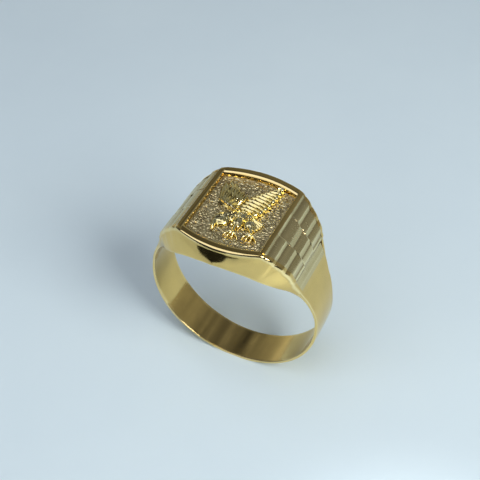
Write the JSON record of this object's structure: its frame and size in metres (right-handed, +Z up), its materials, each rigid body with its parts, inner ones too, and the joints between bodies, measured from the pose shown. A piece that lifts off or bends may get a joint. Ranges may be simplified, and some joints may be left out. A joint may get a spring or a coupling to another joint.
{
  "type": "signet ring",
  "caption": "Signet ring: thin plain shank, hollow head with a flat rectangular table, recessed matte field, applied bird relief and brick-struck shoulders.",
  "frame": {"origin": "middle of the short flat under the shank, which is the surface that the ring stands on", "axes": "+Z up from the shank to the table, +Y along the finger towards the rear wall, +X across the finger hole to the right shoulder"},
  "size_m": [0.0206, 0.014, 0.022],
  "materials": {
    "polished_gold": "polished yellow gold",
    "satin_gold": "satin yellow gold with fine scratches",
    "sandblasted_gold": "sandblasted matte yellow gold",
    "bright_gold": "bright polished yellow gold"
  },
  "bodies": {
    "root": {"shank": "polished_gold", "head_lining": "polished_gold", "front_wall": "polished_gold", "rear_wall": "polished_gold", "left_shoulder": "satin_gold", "right_shoulder": "satin_gold", "table_plate": "sandblasted_gold", "left_rail": "polished_gold", "right_rail": "polished_gold", "front_bezel_strip": "polished_gold", "rear_bezel_strip": "polished_gold", "eagle": "bright_gold"}
  },
  "joints": []
}
